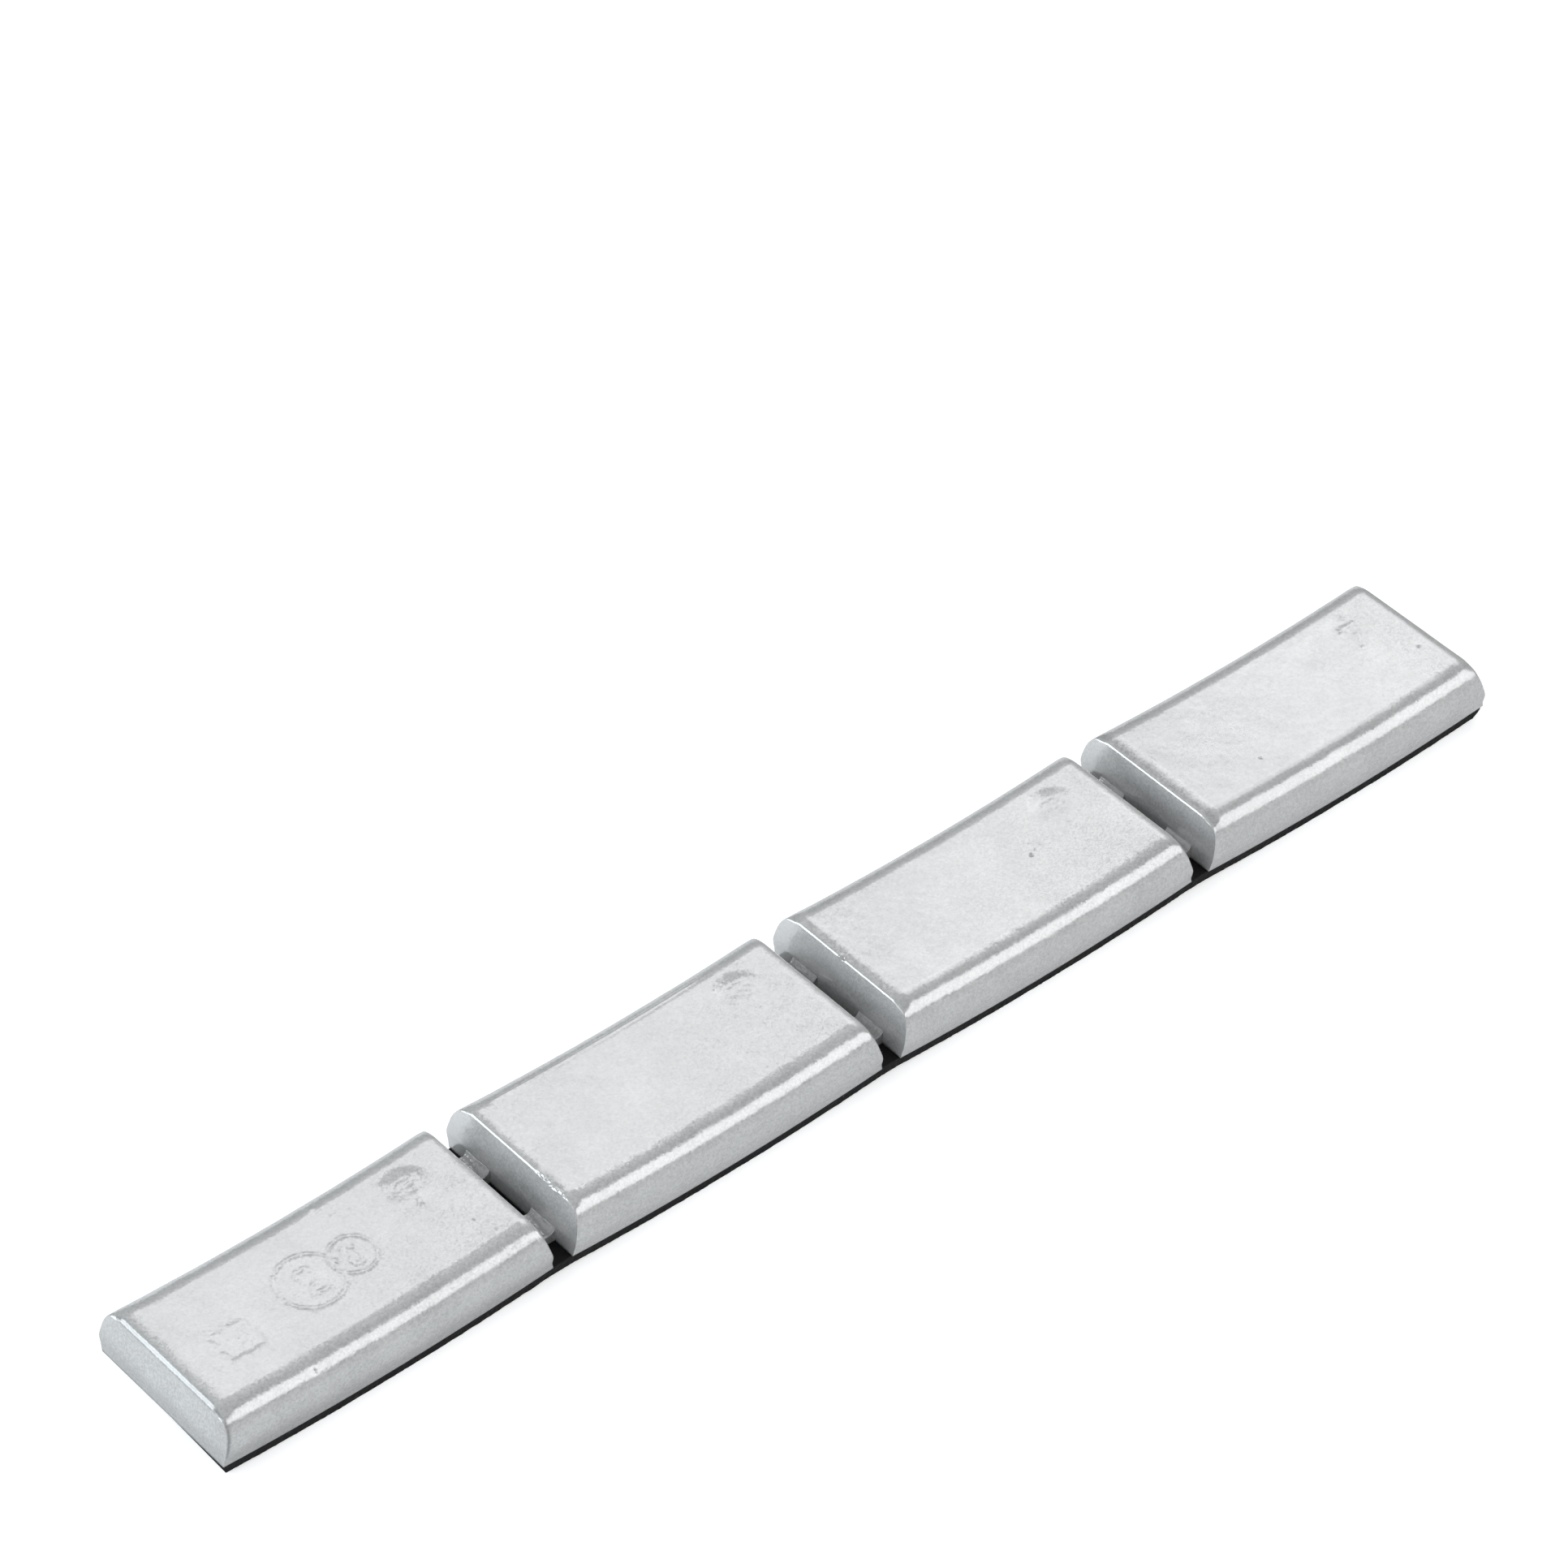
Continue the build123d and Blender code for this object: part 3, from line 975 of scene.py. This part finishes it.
class Value:
    """An output of a node tree. Sums with it add Math nodes, and node adds a node of any other kind."""

    def __init__(self, tree, socket=None):
        self.tree = tree
        self.socket = socket

    def link(self, value, socket):
        """Links a Value to an input socket, or sets the socket's own value."""
        if isinstance(value, Value):
            self.tree.links.new(value.socket, socket)
        else:
            socket.default_value = value

    def node(self, kind, settings, sockets, output=0):
        """Adds a node: its type, its settings, the values or links of its sockets. Gives one output."""
        made = self.tree.nodes.new(kind)
        for name, setting in settings.items():
            setattr(made, name, setting)
        for name, value in sockets.items():
            self.link(value, made.inputs[name])
        return Value(self.tree, made.outputs[output]) if made.outputs else made

    def math(self, operation, first, second):
        """A Math node on two values."""
        return self.node("ShaderNodeMath", {"operation": operation}, {0: first, 1: second})

    def __add__(self, other):
        return self.math("ADD", self, other)

    def __radd__(self, other):
        return self.math("ADD", other, self)

    def __sub__(self, other):
        return self.math("SUBTRACT", self, other)

    def __rsub__(self, other):
        return self.math("SUBTRACT", other, self)

    def __mul__(self, other):
        return self.math("MULTIPLY", self, other)

    def __rmul__(self, other):
        return self.math("MULTIPLY", other, self)

    def clamped(self):
        """The value kept between 0 and 1."""
        return self.node("ShaderNodeClamp", {}, {"Value": self})

    def swing(self, share, middle=0.5):
        """A share of how far the value is above its middle."""
        return (self - middle) * share

    def mixed(self, first, second):
        """A colour between two colours, by this value."""
        mix = {"data_type": "RGBA", "clamp_factor": True}
        return self.node("ShaderNodeMix", mix, {0: self, 6: first, 7: second}, output=2)

    def stepped(self, low, high):
        """0 at low and 1 at high, smoothly between them."""
        step = {"interpolation_type": "SMOOTHSTEP"}
        return self.node("ShaderNodeMapRange", step, {"Value": self, "From Min": low, "From Max": high})

    def vector(self, operation, *vectors, output="Vector"):
        """A Vector Math node on this vector and any others."""
        sockets = dict(enumerate((self, *vectors)))
        return self.node("ShaderNodeVectorMath", {"operation": operation}, sockets, output=output)

    def along(self, direction):
        """The share of this vector along a direction."""
        return self.vector("DOT_PRODUCT", direction, output="Value")

    def noise(self, size, detail=2.0, roughness=0.5):
        """Noise of a feature size in metres, on this vector."""
        sockets = {"Vector": self, "Scale": 1.0 / size, "Detail": detail, "Roughness": roughness}
        return self.node("ShaderNodeTexNoise", {}, sockets, output="Fac")

    def cells(self, size, output="Distance"):
        """Cells of a size in metres, on this vector."""
        sockets = {"Vector": self, "Scale": 1.0 / size}
        return self.node("ShaderNodeTexVoronoi", {}, sockets, output=output)


def opaque(colour):
    """A colour with its alpha."""
    return (*colour, 1.0)


def new_material(name):
    """A material with an empty node tree. Gives the material, its tree and the piece's own coordinates."""
    material = bpy.data.materials.new(name)
    material.use_nodes = True
    material.node_tree.nodes.clear()
    tree = Value(material.node_tree)
    place = tree.node("ShaderNodeTexCoord", {}, {}, output="Object")
    return material, tree, place


def close_material(tree, sockets):
    """Ends a material in a Principled shader with these socket values and links."""
    shader = tree.node("ShaderNodeBsdfPrincipled", {}, sockets)
    tree.node("ShaderNodeOutputMaterial", {}, {"Surface": shader})


def silver_paint(finish):
    """Satin silver paint: light and dark flakes that lean, a coarser grain, slow clouds and orange peel."""
    material, tree, place = new_material(PAINT_NAME)
    flakes = place.cells(finish.flake_size, output="Color")
    flake = tree.node("ShaderNodeSeparateColor", {}, {0: flakes}, output="Red")
    grain = place.noise(finish.grain_size, detail=3.0)
    clouds = place.noise(CLOUD_SIZE)
    peel = place.noise(PEEL_SIZE, detail=1.0)
    # Painted shade darkens the colour towards the shade colour; below 0 it is painted light, lightening it
    grime = tree.node("ShaderNodeAttribute", {"attribute_name": SHADE_ATTRIBUTE}, {}, output="Fac")
    painted_light = (0.0 - grime).clamped() * PAINTED_LIGHT_TONE
    tone = 0.5 + flake.swing(FLAKE_TONE) + grain.swing(GRAIN_TONE) + clouds.swing(CLOUD_TONE) + painted_light
    colour = tone.clamped().mixed(opaque(finish.paint_dark), opaque(finish.paint_light))
    colour = grime.mixed(colour, opaque(finish.shade_colour))
    rough = finish.paint_roughness + grain.swing(GRAIN_ROUGHNESS) + flake.swing(FLAKE_ROUGHNESS)
    tilt = flakes.vector("MULTIPLY_ADD", (FLAKE_TILT,) * 3, (-FLAKE_TILT / 2.0,) * 3)
    facing = tree.node("ShaderNodeNewGeometry", {}, {}, output="Normal")
    facing = facing.vector("ADD", tilt).vector("NORMALIZE")
    height = grain * GRAIN_BUMP + peel
    bump = {"Strength": PAINT_BUMP_STRENGTH, "Distance": PAINT_BUMP, "Height": height, "Normal": facing}
    normal = tree.node("ShaderNodeBump", {}, bump)
    paint = {"Base Color": colour, "Roughness": rough, "Metallic": finish.paint_metallic, "Normal": normal}
    close_material(tree, paint)
    return material


def black_foam(finish):
    """Matt black foam: small closed cells, dusty clouds and a few pale scuffs along the cut."""
    material, tree, place = new_material(FOAM_NAME)
    cells = place.cells(finish.cell_size)
    dust = place.noise(DUST_SIZE, detail=4.0)
    scuff = place.vector("MULTIPLY", SCUFF_SCALE).noise(SCUFF_SIZE, detail=3.0, roughness=0.65)
    begins, palest = SCUFF_LEVELS
    pale = tree.node("ShaderNodeMapRange", {}, {"Value": scuff, "From Min": begins, "From Max": palest})
    tone = pale * dust * SCUFF_TONE + dust.swing(DUST_TONE, DUST_MIDDLE) + (CELL_MIDDLE - cells) * CELL_TONE
    colour = tone.clamped().mixed(opaque(finish.foam_colour), opaque(finish.fibre_colour))
    rough = FOAM_ROUGHNESS + dust.swing(DUST_ROUGHNESS)
    height = cells * CELL_BUMP + dust * DUST_BUMP
    bump = {"Strength": FOAM_BUMP_STRENGTH, "Distance": FOAM_BUMP, "Height": height}
    normal = tree.node("ShaderNodeBump", {}, bump)
    foam = {"Base Color": colour, "Roughness": rough, "Specular IOR Level": FOAM_SPECULAR, "Normal": normal}
    close_material(tree, foam)
    return material


def finished_material(name, make, finish):
    """The material of that name, made the first time that it is asked for."""
    return bpy.data.materials.get(name) or make(finish)


def add_piece(name, shells, material, node):
    """Puts a piece into the scene, on the frame's one body, in place of a solid of the frame."""
    mesh = ring_mesh(name, shells)
    mesh.materials.append(material)
    piece = bpy.data.objects.new(name, mesh)
    bpy.context.scene.collection.objects.link(piece)
    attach(piece, "root")
    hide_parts(node)
    return piece


# Stage


def towards(azimuth, elevation, distance):
    """Point at an azimuth from +X towards +Y and an elevation, both in degrees, and a distance."""
    a, e = math.radians(azimuth), math.radians(elevation)
    return Vector((math.cos(a) * math.cos(e), math.sin(a) * math.cos(e), math.sin(e))) * distance


def add_lamp(stage, name):
    """A soft rectangular lamp that faces the middle of the frame, with its length square to a direction."""
    place, square_to, length, width = LAMPS[name]
    data = bpy.data.lights.new(name, "AREA")
    data.shape = "RECTANGLE"
    data.size = length
    data.size_y = width
    data.energy = getattr(stage, name)
    if name in COOL_LAMPS:
        data.color = stage.cool_colour
    place = towards(*place)
    away = place.normalized()
    lengthwise = Vector(square_to).cross(away).normalized()
    turn = Matrix((lengthwise, away.cross(lengthwise), away)).transposed()
    lamp = bpy.data.objects.new(name, data)
    lamp.matrix_world = Matrix.Translation(place) @ turn.to_4x4()
    lamp.visible_camera = False
    lamp.visible_glossy = name != UNMIRRORED_LAMP
    bpy.context.scene.collection.objects.link(lamp)


def seen_plainly(tree):
    """1 on rays from the camera, through glass too, the mirror's share on mirror rays and 0 on the rest."""
    kinds = ("Is Camera Ray", "Is Transmission Ray", "Is Glossy Ray")
    camera, glass, mirror = [tree.node("ShaderNodeLightPath", {}, {}, output=kind) for kind in kinds]
    return (camera + glass + mirror * MIRROR_SHARE).clamped()


def add_floor(stage):
    """A pale floor, a square grid close under the tape's lowest lines, lifted to white for the camera."""
    edge = np.linspace(-FLOOR_HALF, FLOOR_HALF, FLOOR_POINTS)
    x, y = np.meshgrid(edge, edge, indexing="ij")
    points = np.stack([x, y, np.full(x.shape, -FLOOR_DROP)], axis=-1).reshape(-1, 3)
    index = np.arange(x.size).reshape(x.shape)
    corners = [index[:-1, :-1], index[1:, :-1], index[1:, 1:], index[:-1, 1:]]
    faces = np.stack(corners, axis=-1).reshape(-1, 4)
    mesh = bpy.data.meshes.new("floor")
    mesh.from_pydata(points.tolist(), [], faces.tolist())
    material, tree, _ = new_material("floor")
    diffuse = tree.node("ShaderNodeBsdfDiffuse", {}, {"Color": opaque(stage.floor_colour)})
    lift = tree.node("ShaderNodeEmission", {}, {"Strength": seen_plainly(tree) * stage.floor_lift})
    both = tree.node("ShaderNodeAddShader", {}, {0: diffuse, 1: lift})
    tree.node("ShaderNodeOutputMaterial", {}, {"Surface": both})
    mesh.materials.append(material)
    floor = bpy.data.objects.new("floor", mesh)
    bpy.context.scene.collection.objects.link(floor)


def add_world(stage):
    """Soft light all round, with a glow about the back lamp and one low down, and white to the camera."""
    world = bpy.data.worlds.new("studio")
    bpy.context.scene.world = world
    world.use_nodes = True
    world.node_tree.nodes.clear()
    tree = Value(world.node_tree)
    camera = tree.node("ShaderNodeLightPath", {}, {}, output="Is Camera Ray")
    direction = tree.node("ShaderNodeTexCoord", {}, {}, output="Generated")
    behind = direction.along(BACK_GLOW_WAY).stepped(*BACK_GLOW_RANGE)
    low = direction.along(UP).stepped(*LOW_GLOW_RANGE)
    near = direction.along(NEAR_LEFT).stepped(*NEAR_LEFT_RANGE)
    level = stage.room_light + behind * stage.back_glow + low * near * stage.low_glow
    level = level + camera * (1.0 - level)
    colour = camera.mixed(opaque(stage.room_colour), WHITE)
    background = tree.node("ShaderNodeBackground", {}, {"Color": colour, "Strength": level})
    tree.node("ShaderNodeOutputWorld", {}, {"Surface": background})


def add_camera(stage, aim):
    """The camera: it looks along its azimuth and elevation, with the aim point off its axis."""
    a, e = stage.azimuth, stage.elevation
    forward = Vector((-math.sin(a) * math.cos(e), math.cos(a) * math.cos(e), -math.sin(e)))
    turn = forward.to_track_quat("-Z", "Y").to_matrix() @ Matrix.Rotation(-stage.roll, 3, "Z")
    data = bpy.data.cameras.new("camera")
    data.lens = stage.lens
    data.clip_start = CAMERA_CLIP
    camera = bpy.data.objects.new("camera", data)
    offset = turn @ Vector((-stage.aim_left, stage.aim_above, stage.distance))
    camera.matrix_world = Matrix.Translation(aim + offset) @ turn.to_4x4()
    bpy.context.scene.collection.objects.link(camera)
    bpy.context.scene.camera = camera


# Operators


class WEIGHT_OT_blocks(Operator):
    """Builds the painted cast blocks"""

    bl_idname = "weight.blocks"
    bl_label = "Build blocks"

    def execute(self, context):
        settings = context.scene.balance_weight
        paint = finished_material(PAINT_NAME, silver_paint, settings.finish)
        for number in range(settings.casting.block_count):
            rings, grime = block_rings(settings.casting, settings.tape, number)
            block = add_piece(f"block_{number + 1}", [rings], paint, "casting")
            add_painted_shade(block.data, [grime])
        return {"FINISHED"}


class WEIGHT_OT_webs(Operator):
    """Builds the break-off webs, two in each gap"""

    bl_idname = "weight.webs"
    bl_label = "Build webs"

    def execute(self, context):
        settings = context.scene.balance_weight
        paint = finished_material(PAINT_NAME, silver_paint, settings.finish)
        shells = []
        grime = []
        for gap in range(settings.casting.block_count - 1):
            for side in (-1, 1):
                rings = web_rings(settings.casting, settings.webs, settings.tape, gap, side)
                shells.append(rings)
                # Painted shade on the webs in each gap
                grime.append(np.full(rings.shape[:2], of_number(WEB_SHADE, gap)))
        webs = add_piece("break_off_webs", shells, paint, "casting")
        add_painted_shade(webs.data, grime)
        return {"FINISHED"}


class WEIGHT_OT_tape(Operator):
    """Builds the foam tape under the blocks"""

    bl_idname = "weight.tape"
    bl_label = "Build tape"

    def execute(self, context):
        settings = context.scene.balance_weight
        foam = finished_material(FOAM_NAME, black_foam, settings.finish)
        rings = tape_rings(settings.casting, settings.tape)
        add_piece("tape_strip", [rings], foam, "foam_tape")
        return {"FINISHED"}


class WEIGHT_OT_stage(Operator):
    """Sets the floor, the light and the camera"""

    bl_idname = "weight.stage"
    bl_label = "Set stage"

    def execute(self, context):
        settings = context.scene.balance_weight
        context.scene.view_settings.view_transform = "Standard"
        add_floor(settings.stage)
        add_world(settings.stage)
        for name in LAMPS:
            add_lamp(settings.stage, name)
        add_camera(settings.stage, aim=Vector((0.0, 0.0, settings.tape.thickness)))
        return {"FINISHED"}


class WEIGHT_PT_panel(Panel):
    """The balance weight's operators and settings"""

    bl_idname = "WEIGHT_PT_panel"
    bl_label = "Balance weight"
    bl_space_type = "VIEW_3D"
    bl_region_type = "UI"
    bl_category = "Balance weight"

    def draw(self, context):
        settings = context.scene.balance_weight
        for operator in OPERATORS:
            self.layout.operator(operator.bl_idname)
        for group in (settings.casting, settings.webs, settings.tape, settings.finish, settings.stage):
            box = self.layout.box()
            for name in group.__annotations__:
                box.prop(group, name)


OPERATORS = (WEIGHT_OT_blocks, WEIGHT_OT_webs, WEIGHT_OT_tape, WEIGHT_OT_stage)
SETTINGS = (CastingSettings, WebSettings, TapeSettings, FinishSettings, StageSettings, WeightSettings)
CLASSES = (*SETTINGS, *OPERATORS, WEIGHT_PT_panel)


def register():
    for cls in CLASSES:
        bpy.utils.register_class(cls)
    bpy.types.Scene.balance_weight = PointerProperty(type=WeightSettings)


def unregister():
    del bpy.types.Scene.balance_weight
    for cls in reversed(CLASSES):
        bpy.utils.unregister_class(cls)


def main():
    register()
    bpy.ops.weight.blocks()
    bpy.ops.weight.webs()
    bpy.ops.weight.tape()
    bpy.ops.weight.stage()


if __name__ == "__main__":
    main()
